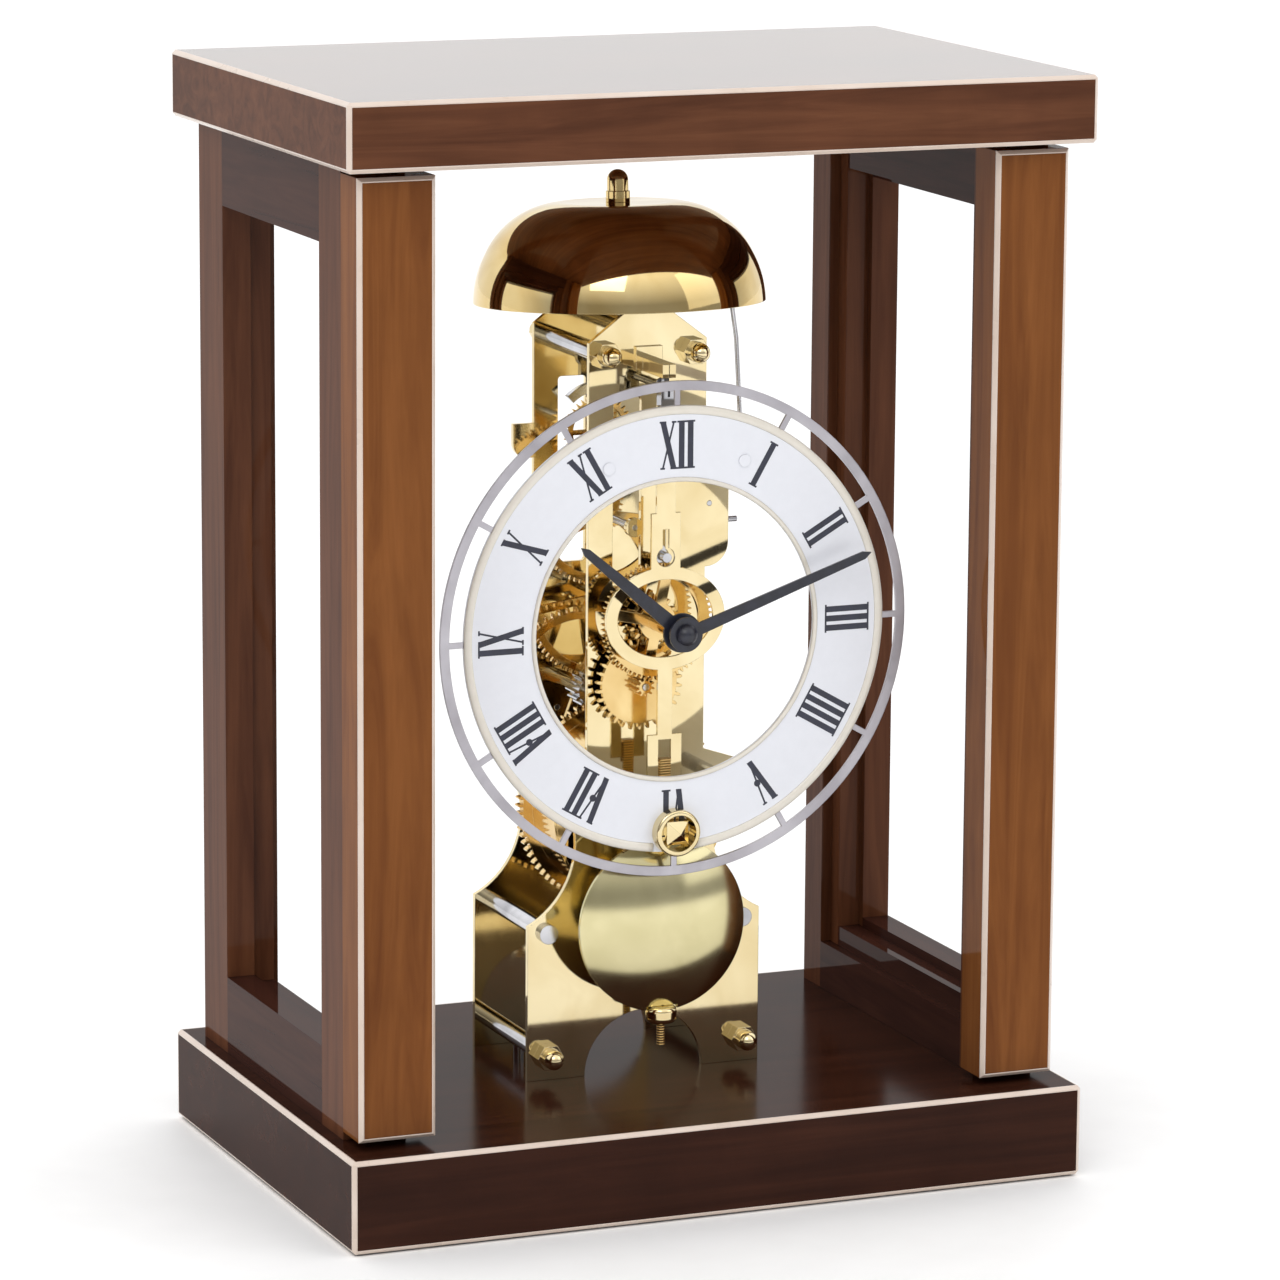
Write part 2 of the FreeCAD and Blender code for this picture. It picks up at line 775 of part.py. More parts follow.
def winding_y():
    """Front end, back of the point and back end of the winding square."""
    front = front_plate_y - winding_front
    return (front, front + winding_point, front_plate_y - neck_reach[1])


def build_winding():
    """Arbor: thick in the drum and plates, thin past the pendulum, square with a point at the front."""
    tip, point_back, square_back = winding_y()
    thick_y = (front_plate_y - neck_reach[0], ratchet_y()[1] + arbor_back_proud)
    thick = rod(barrel_at, barrel_arbor_radius, thick_y)
    neck = rod(barrel_at, winding_neck, (square_back, thick_y[0]))
    half = winding_square / 2
    square = box((-half, half), (point_back, square_back), (barrel_at[1] - half, barrel_at[1] + half))
    base_corners = [V(x, point_back, barrel_at[1] + z)
                    for x, z in ((-half, -half), (half, -half), (half, half), (-half, half))]
    point = pyramid(base_corners, V(0, tip, barrel_at[1]))
    save("barrel_arbor", join([thick, neck, square, point]))
    points = []
    for tooth in range(ratchet_teeth):
        angle = 2 * math.pi * tooth / ratchet_teeth
        for radius in (ratchet_root, ratchet_radius):
            points.append((barrel_at[0] + radius * math.cos(angle), barrel_at[1] + radius * math.sin(angle)))
    save("ratchet_wheel", prism(points, ratchet_y()).cut(rod(barrel_at, barrel_arbor_radius, ratchet_y())))


def pyramid(corners, tip):
    faces = [Part.Face(Part.makePolygon([a, b, tip, a])) for a, b in zip(corners, corners[1:] + corners[:1])]
    faces.append(Part.Face(Part.makePolygon(corners + corners[:1])))
    return Part.Solid(Part.Shell(faces))


def click_at():
    angle = math.radians(click_angle)
    return (barrel_at[0] + click_distance * math.cos(angle), barrel_at[1] + click_distance * math.sin(angle))


def click_tip():
    """Point of the click, just outside the ratchet's tips."""
    angle = math.radians(click_beak)
    radius = ratchet_radius + click_tip_clearance
    return (barrel_at[0] + radius * math.cos(angle), barrel_at[1] + radius * math.sin(angle))


def click_spring_pins():
    x, z = click_at()
    return [(x + offset, z + click_spring_rise) for offset in click_spring_pins_x]


def build_click():
    y = ratchet_y()
    at = click_at()
    tip = click_tip()
    side = heading(at, tip) + math.pi / 2
    back = (at[0] + click_boss * math.cos(side), at[1] + click_boss * math.sin(side))
    near = (at[0] - click_boss * math.cos(side), at[1] - click_boss * math.sin(side))
    heel = (tip[0] + click_heel[0], tip[1] + click_heel[1])
    beak = prism([back, near, tip, heel], y)
    beak = beak.cut(rod(barrel_at, ratchet_radius + click_tip_clearance, y))
    lever = join([rod(at, click_boss, y), beak])
    save("click", lever.cut(rod(at, click_screw_radius + running_fit, y)))
    head_y = y[1] + click_screw_play
    shank = rod(at, click_screw_radius, (back_plate_y, head_y))
    head = rod(at, click_boss, (head_y, head_y + click_screw_head))
    washer = rod(at, click_washer_radius, (back_face, y[0] - click_washer_play))
    save("plate_pins", join([shank, head, washer]), stop_pin_solid())
    pins = click_spring_pins()
    foot = strap(pins[0], pins[1], click_spring_foot, (back_face, y[1]))
    blade_end = (at[0] + click_spring_reach, pins[1][1])
    blade = strap(pins[1], blade_end, click_spring_width / 2, y)
    tongue_end = (blade_end[0], tip[1] + click_spring_clear)
    tongue = strap(blade_end, tongue_end, click_spring_width / 2, y)
    stems = [rod(pin, click_spring_pin, (back_plate_y, back_face)) for pin in pins]
    save("click_spring", join([foot, blade, tongue] + stems))


# ---------------------------------------------------------------- going train
def build_train():
    """Second, centre and third arbors with their wheels; each meshes with the wheel below it."""
    to_second = heading(barrel_at, second_at)
    to_centre = heading(second_at, centre_at)
    to_third = heading(centre_at, third_at)
    to_escape = heading(third_at, escape_at)
    second_y = from_front(second_wheel_y, second_wheel_thickness)
    centre_y = from_front(centre_wheel_y, centre_wheel_thickness)
    third_y = from_front(third_wheel_y, third_wheel_thickness)
    great_y = from_front(great_wheel_y, great_wheel_thickness)

    second_leaf_y = (great_y[0] - leaf_lead["second"], second_y[0])
    leaves = pinion(second_at, second_leaves, great_module, gap_phase(second_leaves, to_second + math.pi),
                    second_leaf_y)
    save("second_arbor", arbor(second_at, arbor_radius, leaves))
    save("second_wheel", wheel(second_at, second_teeth, second_module, to_centre, second_y, arbor_radius))

    centre_leaf_y = (second_y[0] - leaf_lead["centre"], second_y[1] + pinion_reach)
    leaves = pinion(centre_at, centre_leaves, second_module, gap_phase(centre_leaves, to_centre + math.pi),
                    centre_leaf_y)
    cam_y = from_front(strike_cam_y, strike_cam_thickness)
    front_end = before_plate(minute_hand_gap + hand_thickness, hand_nut_length)[0] + hand_nut_cap
    front_part = rod(centre_at, cannon_bore, (front_end, arbor_ends[0]))
    save("centre_arbor", join([arbor(centre_at, arbor_radius, leaves), front_part, strike_cam(cam_y)]))
    save("centre_wheel", wheel(centre_at, centre_teeth, centre_module, to_third, centre_y, arbor_radius))

    third_leaf_y = (centre_y[0] - leaf_lead["third"], centre_y[1] + pinion_reach)
    leaves = pinion(third_at, third_leaves, centre_module, gap_phase(third_leaves, to_third + math.pi),
                    third_leaf_y)
    save("third_arbor", arbor(third_at, arbor_radius, leaves))
    save("third_wheel", wheel(third_at, third_teeth, third_module, to_escape, third_y, arbor_radius))

    escape_leaf_y = (third_y[0] - pinion_reach, third_y[1] + pinion_reach)
    leaves = pinion(escape_at, escape_leaves, third_module, gap_phase(escape_leaves, to_escape + math.pi),
                    escape_leaf_y)
    save("escape_arbor", arbor(escape_at, escape_arbor_radius, leaves))
    save("escape_wheel", escape_wheel(from_front(escape_wheel_y, escape_wheel_thickness)))


def strike_cam(y):
    """Two-lobed cam that lifts the hammer's tail on the hour and the half hour."""
    places = [(centre_at[0] + side * strike_cam_offset, centre_at[1]) for side in (-1, 1)]
    reach = strike_cam_radius - strike_cam_offset
    return join([rod(centre_at, strike_cam_hub, y)] + [rod(at, reach, y) for at in places])


def escape_wheel(y):
    """Fine pointed teeth on a light four-spoke wheel."""
    points = []
    step = 2 * math.pi / escape_teeth
    for tooth in range(escape_teeth):
        angle = step * tooth
        for offset, radius in zip(escape_tooth, (escape_root, escape_radius, escape_radius, escape_root)):
            turn = angle + offset * step
            points.append((escape_at[0] + radius * math.cos(turn), escape_at[1] + radius * math.sin(turn)))
    rim = escape_root - escape_rim
    face = crossed_out(polygon(points, y[0]), escape_at, rim, escape_hub, 4, escape_spoke_half, 0.0, y[0])
    return face.extrude(V(0, y[1] - y[0], 0)).cut(rod(escape_at, escape_arbor_radius, y))


# ---------------------------------------------------------------- anchor, crutch, suspension, pendulum
def build_anchor():
    """Anchor with its arbor, which runs out through the front plate to the crutch."""
    middle = escape_wheel_y + escape_wheel_thickness / 2
    y = from_front(middle - anchor_thickness / 2, anchor_thickness)
    half = math.radians(pallet_half_angle)
    far = 2 * pallet_outer
    wedge = [escape_at, (escape_at[0] + far * math.sin(half), escape_at[1] + far * math.cos(half)),
             (escape_at[0], escape_at[1] + far * 1.2),
             (escape_at[0] - far * math.sin(half), escape_at[1] + far * math.cos(half))]
    arms = tube(escape_at, pallet_outer, pallet_inner, y).common(prism(wedge, y))
    stem_low = escape_at[1] + pallet_inner + anchor_stem_bite
    stem = box((-anchor_stem_half, anchor_stem_half), y, (stem_low, anchor_at[1]))
    hub = rod(anchor_at, anchor_hub, y)
    crutch_y = before_plate(crutch_gap, crutch_thickness)
    shaft = rod(anchor_at, arbor_radius, (crutch_y[0], arbor_ends[1]))
    pivot = rod(anchor_at, pivot_radius, (arbor_ends[1], back_face))
    save("anchor", join([arms, stem, hub, shaft, pivot]))
    foot = (anchor_at[0], anchor_at[1] - crutch_pin_drop)
    pin = rod(foot, crutch_pin_radius, (leader_y - crutch_pin_proud, crutch_y[1]))
    blade = join([strap(anchor_at, foot, crutch_half, crutch_y), rod(anchor_at, crutch_hub, crutch_y),
                  rod(foot, crutch_pin_radius + crutch_eye, crutch_y), pin])
    save("crutch", blade.cut(rod(anchor_at, arbor_radius, crutch_y)))


def build_suspension():
    """Cock on the front plate, thin strip in its slit, and the clamp that the strip hangs in."""
    x = (-cock_arm[0], cock_arm[0])
    z = (anchor_at[1] + cock_clear, anchor_at[1] + cock_clear + cock_arm[1])
    clamp_middle = leader_y + leader_thickness / 2
    clamp_y = (clamp_middle - clamp_depth / 2, clamp_middle + clamp_depth / 2)
    arm = box(x, (clamp_y[0] - cock_front, front_plate_y), z)
    flange = box((-cock_flange[0], cock_flange[0]), (front_plate_y - cock_flange[2], front_plate_y),
                 (z[0], z[0] + cock_flange[1]))
    strip_x = (-suspension_thickness / 2, suspension_thickness / 2)
    strip_y = (clamp_middle - suspension_width / 2, clamp_middle + suspension_width / 2)
    clamp_z = (anchor_at[1] - clamp_drop[1], anchor_at[1] - clamp_drop[0])
    blade = box(strip_x, strip_y, (clamp_z[1] - suspension_entry, z[1] - suspension_pin_depth))
    slit = box(strip_x, (clamp_y[0] - cock_front, strip_y[1]), z)
    save("suspension_cock", arm.fuse(flange).removeSplitter().cut([slit]))
    save("suspension_spring", blade)
    room = suspension_slot_clearance
    socket = box((strip_x[0] - room, strip_x[1] + room), clamp_y,
                 (clamp_z[1] - suspension_entry - room, clamp_z[1]))
    seat = box((-leader_half, leader_half), (leader_y, leader_y + leader_thickness),
               (clamp_z[0], clamp_z[0] + clamp_seat))
    save("suspension_clamp", box((-clamp_half, clamp_half), clamp_y, clamp_z).cut([socket, seat]))


def ellipse_disc(half_x, half_z, centre, y):
    """Flat elliptical disc."""
    disc = Part.makeCylinder(1.0, y[1] - y[0], V(0, 0, 0), V(0, 1, 0))
    matrix = FreeCAD.Matrix()
    matrix.scale(half_x, 1.0, half_z)
    disc = disc.transformGeometry(matrix)
    disc.translate(V(centre[0], y[0], centre[1]))
    return disc


def build_leader():
    """Pendulum leader: strip, head with a keyhole for the crutch pin, loop round the hand pipes, and fork."""
    y = (leader_y, leader_y + leader_thickness)
    zero = anchor_at[1]
    pin_z = zero - crutch_pin_drop
    head_top = zero - head_top_drop
    loop_z = zero - loop_drop
    fork_z = zero - fork_drop
    clamp_seat_top = zero - clamp_drop[1] + clamp_seat
    strip_part = box((-leader_half, leader_half), y, (head_top - head_lap, clamp_seat_top))
    head = box((-head_half, head_half), y, (loop_z + loop_half[1] - loop_band, head_top))
    loop = ellipse_disc(loop_half[0], loop_half[1], (0.0, loop_z), y)
    opening = ellipse_disc(loop_half[0] - loop_band, loop_half[1] - loop_band, (0.0, loop_z), y)
    fork_slot_top = fork_z + fork_height - fork_bar_high
    tail = box((-tail_half, tail_half), y, (fork_slot_top, loop_z - loop_half[1] + loop_band / 2))
    fork = box((-fork_half, fork_half), y, (fork_z, fork_z + fork_height))
    slot = box((-fork_slot_half, fork_slot_half), y, (fork_z + fork_bar_low, fork_slot_top))
    keyhole = [rod((0.0, pin_z), keyhole_radius, y),
               box((-keyhole_slot[0] / 2, keyhole_slot[0] / 2), y, (pin_z, pin_z + keyhole_slot[1]))]
    save("pendulum_leader", join([strip_part, head, loop, tail, fork]).cut([opening, slot] + keyhole))


def hook_plate(grow_x, grow_y, grow_z):
    """Flat part of the hook below the fork: stirrup round the winding arbor and stem inside the bob."""
    y = (hook_y - grow_y, hook_y + leader_thickness + grow_y)
    inner_top = barrel_at[1] + stirrup_clear
    inner_low = inner_top - stirrup_inner_height
    outer = stirrup_half + grow_x
    inner = stirrup_half - stirrup_leg - grow_x
    frame = box((-outer, outer), y, (inner_low - stirrup_leg - grow_z, inner_top + stirrup_leg + grow_z))
    frame = frame.cut(box((-inner, inner), y, (inner_low + grow_z, inner_top - grow_z)))
    stem_low = anchor_at[1] - nut_top_drop + hook_stem_rise
    stem_x = (-hook_stem_half - grow_x, hook_stem_half + grow_x)
    stem = box(stem_x, y, (stem_low - grow_z, inner_low + grow_z))
    return [frame, stem]


def build_hook():
    """Tongue over the fork's bar, stirrup, stem and the threaded rod that the rating nut runs on."""
    fork_z = anchor_at[1] - fork_drop
    y = (hook_y, hook_y + leader_thickness)
    x = (-hook_half, hook_half)
    inner_top = barrel_at[1] + stirrup_clear
    bar_top = fork_z + fork_bar_low
    strip_part = box(x, y, (inner_top, bar_top + leader_thickness))
    over = box(x, (leader_y - leader_thickness, y[1]), (bar_top, bar_top + leader_thickness))
    lip = box(x, (leader_y - leader_thickness, leader_y), (fork_z - hook_lip, bar_top + leader_thickness))
    rod_part = upright((0.0, bob_y), hook_rod_radius,
                       (anchor_at[1] - hook_rod_end, anchor_at[1] - nut_top_drop + hook_rod_grip))
    save("pendulum_hook", join([strip_part, over, lip, rod_part] + hook_plate(0.0, 0.0, 0.0)))


def lens(centre, radius, half, rim_half):
    """Double-domed disc with its axis along Y."""
    x, y, z = centre
    dome_radius = (radius ** 2 + (half - rim_half) ** 2) / (2 * (half - rim_half))
    back_set = dome_radius - half
    front_dome = Part.makeSphere(dome_radius, V(x, y + back_set, z))
    back_dome = Part.makeSphere(dome_radius, V(x, y - back_set, z))
    return rod((x, z), radius, (y - 2 * half, y + 2 * half)).common(front_dome).common(back_dome)


def build_bob():
    """Lens-shaped bob, slotted for the hook, standing on the rating nut."""
    bob_z = anchor_at[1] - bob_drop
    nut_top = anchor_at[1] - nut_top_drop
    body = lens((0.0, bob_y, bob_z), bob_radius, bob_half_thickness, bob_rim_half)
    slots = hook_plate(bob_slot_clearance, bob_slot_clearance, bob_travel)
    rod_hole = upright((0.0, bob_y), hook_rod_radius + bob_slot_clearance,
                       (nut_top - nut_height, nut_top + hook_rod_grip + bob_travel))
    recess = upright((0.0, bob_y), nut_radius + nut_recess_clearance, (bob_z - 2 * bob_radius, nut_top))
    save("pendulum_bob", body.cut(slots + [rod_hole, recess]))
    nut = upright((0.0, bob_y), nut_radius, (nut_top - nut_height, nut_top - running_fit))
    edges = [edge for edge in nut.Edges if len(edge.Vertexes) == 1 and edge.Length > 1.0]
    nut = nut.makeFillet(nut_round, edges)
    bore = upright((0.0, bob_y), hook_rod_radius + running_fit, (nut_top - nut_height, nut_top))
    save("rating_nut", nut.cut(bore))


# ---------------------------------------------------------------- motion work, hands and dial
def hand(at, length, boss, widths, bore, y, angle):
    """Tapered baton hand with a round boss and a blunt point; angle is clockwise from straight up."""
    root, end = widths
    points = [(at[0] - root, at[1]), (at[0] - end, at[1] + length - hand_point), (at[0], at[1] + length),
              (at[0] + end, at[1] + length - hand_point), (at[0] + root, at[1])]
    blade = join([prism(points, y), rod(at, boss, y)]).cut(rod(at, bore, y))
    return turned(blade, at, angle)


def build_motion_work():
    """Cannon pinion, minute wheel on its stud, hour wheel with its pipe."""
    to_minute = heading(centre_at, minute_at)
    cannon_y = before_plate(cannon_gap, cannon_length)
    minute_y = before_plate(minute_wheel_gap, motion_thickness)
    hour_y = before_plate(hour_wheel_gap, motion_thickness)
    hand_y = before_plate(minute_hand_gap, hand_thickness)
    form = (pinion_share, pinion_tip, wheel_addendum, pinion_dedendum)
    phase = gap_phase(cannon_teeth, to_minute)
    leaves = prism(toothed_points(centre_at, cannon_teeth, cannon_module, form, phase), cannon_y)
    cannon = join([leaves, rod(centre_at, cannon_tube, (hand_y[0], cannon_y[1]))])
    save("cannon_pinion", cannon.cut(rod(centre_at, cannon_bore + running_fit, (hand_y[0], cannon_y[1]))))

    form = (wheel_share, wheel_tip, wheel_addendum, wheel_dedendum)
    outline = toothed_points(minute_at, minute_teeth, cannon_module, form, to_minute + math.pi)
    leaf_y = (hour_y[0] - hour_leaf_lead, minute_y[0])
    phase = gap_phase(minute_leaves, to_minute + math.pi)
    leaves = pinion(minute_at, minute_leaves, hour_module, phase, leaf_y)
    turning = join([prism(outline, minute_y), leaves])
    stud_y = (leaf_y[0] - stud_proud, plate_back)
    bore = rod(minute_at, minute_stud_radius + running_fit, (leaf_y[0], minute_y[1]))
    save("minute_wheel", turning.cut(bore))
    shoulder = rod(minute_at, minute_stud_shoulder, (minute_y[1] + end_play, front_plate_y))
    save("front_plate_studs", join([rod(minute_at, minute_stud_radius, stud_y), shoulder]), *dial_posts())

    pipe_y = (before_plate(hour_hand_gap, hand_thickness)[0], hour_y[1])
    disc = wheel(centre_at, hour_teeth, hour_module, to_minute, hour_y, cannon_tube + running_fit,
                 spokes=4, hub=5.2, spoke_half=1.5, rim=3.0)
    pipe = tube(centre_at, hour_pipe, cannon_tube + running_fit, pipe_y)
    save("hour_wheel", disc.fuse(pipe).removeSplitter())


def build_hands():
    hour_y = before_plate(hour_hand_gap, hand_thickness)
    minute_y = before_plate(minute_hand_gap, hand_thickness)
    save("hour_hand", hand(centre_at, hour_hand_length, hour_hand_boss, hour_hand_widths, hour_pipe, hour_y,
                           hour_hand_angle))
    save("minute_hand", hand(centre_at, minute_hand_length, minute_hand_boss, minute_hand_widths, cannon_tube,
                             minute_y, minute_hand_angle))
    nut_y = (minute_y[0] - hand_nut_length, minute_y[0])
    dome = Part.makeSphere(hand_nut_dome, V(centre_at[0], nut_y[0] + hand_nut_dome, centre_at[1]))
    nut = rod(centre_at, hand_nut_radius, nut_y).common(dome)
    save("hand_nut", nut.cut(rod(centre_at, cannon_bore + running_fit, (nut_y[0] + hand_nut_cap, nut_y[1]))))


def dial_screws():
    """Screws through the dial into the two upper posts."""
    screws = []
    for at in dial_post_places()[:2]:
        shank = rod(at, dial_screw_radius, (dial_front, dial_back + dial_screw_grip))
        head = rod(at, dial_screw_head[0], (dial_front - dial_screw_head[1], dial_front))
        screws.append(join([shank, head]))
    return screws


def dial_posts():
    """Posts riveted in the front plate that carry the dial."""
    posts = []
    for at in dial_post_places():
        post = rod(at, dial_post_radius, (dial_back, front_plate_y))
        stub = rod(at, stub_radius, (front_plate_y, plate_back))
        posts.append(join([post, stub]).cut(dial_screws()))
    return posts


def build_dial():
    """Chapter ring, outer ring on twelve tabs, posts, screws and the eyelet round the winding square."""
    y = (dial_front, dial_back)
    eyelet_at = barrel_at
    notch = rod(eyelet_at, eyelet_neck, y)
    posts = dial_post_places()
    screw_holes = [rod(at, dial_screw_radius, y) for at in posts[:2]]
    save("dial_plate", tube(centre_at, dial_outer, dial_inner, y).cut([notch] + screw_holes))
    outer = tube(centre_at, ring_outer, ring_inner, y)
    reach = (ring_inner + ring_outer) / 2
    tab = box((-tab_half, tab_half), y, (centre_at[1], centre_at[1] + reach))
    tabs = [turned(tab, centre_at, 30 * hour) for hour in range(12)]
    ring_shape = join([outer] + [piece.cut(rod(centre_at, dial_outer, y)) for piece in tabs])
    save("dial_ring", ring_shape.cut(notch))
    save("dial_screws", *dial_screws())
    save("winding_eyelet", eyelet(eyelet_at))


def eyelet(at):
    front = (dial_front - eyelet_front, dial_front)
    flange = rod(at, eyelet_outer, front)
    rounds = [edge for edge in flange.Edges if len(edge.Vertexes) == 1]
    lip = [edge for edge in rounds if abs(edge.Vertexes[0].Y - front[0]) < 0.01]
    flange = flange.makeFillet(eyelet_round, lip)
    neck = rod(at, eyelet_neck, (dial_front, dial_back + eyelet_back))
    return join([flange, neck]).cut(rod(at, eyelet_inner, (front[0], dial_back + eyelet_back)))


# ---------------------------------------------------------------- strike
def bell_bar_z():
    return base_top + neck_height - bell_bar_drop - bell_bar[1] / 2


def bell_wire(shift):
    """Half section line of the bell's skin, shift further in, from the rim to the crown."""
    crown_at = (bell_crown_centre[0], bell_crown_centre[1])
    points = [(bell_radius, 0.0)] + [(share * bell_radius, rise) for share, rise in bell_shape]
    moved = []
    for radius, rise in points:
        angle = math.atan2(max(rise - crown_at[1], 0.0), radius - crown_at[0])
        moved.append((radius - shift * math.cos(angle), rise - shift * math.sin(angle)))
    moved.append((bell_post_radius, bell_crown_height - shift))
    return moved


def leant(shape):
    """Lean the bell and all that stands on its bar back."""
    moved = shape.copy()
    moved.rotate(V(0, middle_y, bell_bar_z()), V(1, 0, 0), -bell_lean)
    return moved


def build_bell():
    rim_z = base_top + bell_rim_height
    outer = [V(radius, middle_y, rim_z + rise) for radius, rise in bell_wire(0.0)]
    inner = [V(radius, middle_y, rim_z + rise) for radius, rise in bell_wire(bell_wall)]
    edges = []
    for side in (outer, inner):
        edges.append(Part.Arc(side[0], side[1], side[2]).toShape())
        edges.append(Part.Arc(side[2], side[3], side[4]).toShape())
        edges.append(Part.LineSegment(side[4], side[5]).toShape())
    edges.append(Part.LineSegment(outer[0], inner[0]).toShape())
    edges.append(Part.LineSegment(outer[5], inner[5]).toShape())
    section = Part.Face(Part.Wire(Part.__sortEdges__(edges)))
    save("bell", leant(section.revolve(V(0, middle_y, 0), V(0, 0, 1), 360)))
    crown = rim_z + bell_crown_height
    bar_z = bell_bar_z()
    bar = box((-bell_bar[0] / 2, bell_bar[0] / 2), (plate_back, back_plate_y),
              (bar_z - bell_bar[1] / 2, bar_z + bell_bar[1] / 2))
    stub_y = (front_plate_y - rivet_head[1] / 2, back_face + rivet_head[1] / 2)
    stub = rod((0.0, bar_z), stub_radius, stub_y)
    heads = [rod((0.0, bar_z), rivet_head[0], (stub_y[0], front_plate_y)),
             rod((0.0, bar_z), rivet_head[0], (back_face, stub_y[1]))]
    post = upright((0.0, middle_y), bell_post_radius, (bar_z, crown + bell_post_proud))
    collar = upright((0.0, middle_y), bell_collar_radius, (bar_z, crown - bell_wall))
    save("bell_post", join([bar, stub, leant(post.fuse(collar))] + heads))
    save("bell_nut", leant(finial(crown)))


def finial(seat):
    """Domed nut with a wider foot on top of the bell."""
    radius, height = bell_nut_head
    foot = upright((0.0, middle_y), bell_nut_foot[0], (seat, seat + bell_nut_foot[1]))
    body = upright((0.0, middle_y), radius, (seat, seat + height - radius))
    dome = Part.makeSphere(radius, V(0, middle_y, seat + height - radius))
    hole = upright((0.0, middle_y), bell_post_radius, (seat, seat + bell_post_proud))
    return join([foot, body, dome]).cut(hole)


def build_hammer():
    """Arbor with collar and tail, bent wire, and head beside the bell's inner wall."""
    y = from_front(hammer_y - hammer_collar[1] / 2, hammer_collar[1])
    tail_y = from_front(hammer_tail_y, hammer_tail_thickness)
    tail = [(hammer_at[0] + x, hammer_at[1] + z) for x, z in hammer_tail_path]
    lever = [strap(start, end, hammer_tail_half, tail_y) for start, end in zip(tail, tail[1:])]
    collar = rod(hammer_at, hammer_collar[0], y)
    tail_collar = rod(hammer_at, hammer_tail_collar, tail_y)
    body = arbor(hammer_at, hammer_arbor_radius, collar)
    wire = hammer_wire((y[0] + y[1]) / 2)
    save("hammer_arbor", join([body, tail_collar] + lever).cut(wire))
    head = hammer_head_solid((y[0] + y[1]) / 2)
    save("hammer_wire", wire)
    save("hammer_head", head.cut(wire))


def hammer_head_x():
    """Ends of the head, from the hammer's arbor; the outer end stays clear of the bell's wall."""
    end = bell_shape[1][0] * bell_radius - bell_wall - hammer_head_clear - hammer_x
    return (end - hammer_head_length, end)


def hammer_wire(y):
    """Round wire bent out from the collar and up into the middle of the head."""
    path = hammer_wire_path + ((sum(hammer_head_x()) / 2, hammer_head_rise),)
    points = [V(hammer_at[0] + x, y, hammer_at[1] + z) for x, z in path]
    pieces = []
    for start, end in zip(points, points[1:]):
        run = end.sub(start)
        pieces.append(Part.makeCylinder(hammer_wire_radius, run.Length, start, run))
    pieces += [Part.makeSphere(hammer_wire_radius, point) for point in points[1:-1]]
    return join(pieces)


def hammer_head_solid(y):
    start = V(hammer_at[0] + hammer_head_x()[0], y, hammer_at[1] + hammer_head_rise)
    body = Part.makeCylinder(hammer_head_radius, hammer_head_length, start, V(1, 0, 0))
    rims = [edge for edge in body.Edges if len(edge.Vertexes) == 1]
    return body.makeChamfer(hammer_head_chamfer, rims)


def stop_pin_solid():
    """Steel pin in the edge of the front plate's lug."""
    radius, length = stop_pin
    start = V(lug_right[0], front_plate_y + plate_thickness / 2, base_top + stop_pin_height)
    return Part.makeCylinder(radius, length, start, V(1, 0, 0))


def build():
    os.makedirs("parts", exist_ok=True)
    build_case()
    build_plates()
    build_barrel()
    build_winding()
    build_click()
    build_train()
    build_anchor()
    build_suspension()
    build_leader()
    build_hook()
    build_bob()
    build_motion_work()
    build_hands()
    build_dial()
    build_bell()
    build_hammer()


build()
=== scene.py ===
import math

import bmesh
import bpy
from mathutils import Matrix, Vector


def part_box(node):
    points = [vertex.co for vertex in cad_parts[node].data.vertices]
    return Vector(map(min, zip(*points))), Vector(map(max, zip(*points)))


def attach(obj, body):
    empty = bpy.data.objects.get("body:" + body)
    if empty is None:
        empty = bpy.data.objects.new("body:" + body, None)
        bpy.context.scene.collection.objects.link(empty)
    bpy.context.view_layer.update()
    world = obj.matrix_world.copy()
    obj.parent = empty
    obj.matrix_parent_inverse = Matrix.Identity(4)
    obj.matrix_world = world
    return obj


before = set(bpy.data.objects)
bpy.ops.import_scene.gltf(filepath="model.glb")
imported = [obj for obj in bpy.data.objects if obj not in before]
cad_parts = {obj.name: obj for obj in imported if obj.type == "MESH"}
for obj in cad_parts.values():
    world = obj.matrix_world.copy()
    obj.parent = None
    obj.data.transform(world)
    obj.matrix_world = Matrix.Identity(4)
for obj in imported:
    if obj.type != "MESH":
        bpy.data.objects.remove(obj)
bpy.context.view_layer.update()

MM = 0.001
WAVE_RATE = 20.0  # phase that a band wave of scale 1 gains per metre
UPRIGHT_Z = 0.6  # a face whose normal has this Z or less counts as upright
LEVEL_Z = 0.9  # and one with this Z or more as looking up


# ---------------------------------------------------------------- node helpers
def srgb(red, green, blue):
    """Linear colour of an 8-bit sRGB colour."""
    def linear(value):
        value /= 255
        return value / 12.92 if value <= 0.04045 else ((value + 0.055) / 1.055) ** 2.4
    return (linear(red), linear(green), linear(blue), 1.0)


def material(name):
    made = bpy.data.materials.new(name)
    made.use_nodes = True
    tree = made.node_tree
    return made, tree, tree.nodes["Principled BSDF"]


def node(tree, kind, **values):
    """New node with its input sockets set by name."""
    made = tree.nodes.new(kind)
    for socket, value in values.items():
        made.inputs[socket].default_value = value
    return made


def place(tree, scale=(1, 1, 1)):
    """Object coordinates stretched by a scale."""
    coords = tree.nodes.new("ShaderNodeTexCoord")
    mapping = node(tree, "ShaderNodeMapping", Scale=scale)
    tree.links.new(coords.outputs["Object"], mapping.inputs["Vector"])
    return mapping.outputs["Vector"]


def noise(tree, vector, scale, detail=4.0, roughness=0.6, distortion=0.0):
    made = node(tree, "ShaderNodeTexNoise", Scale=scale, Detail=detail, Roughness=roughness,
                Distortion=distortion)
    tree.links.new(vector, made.inputs["Vector"])
    return made.outputs["Fac"]


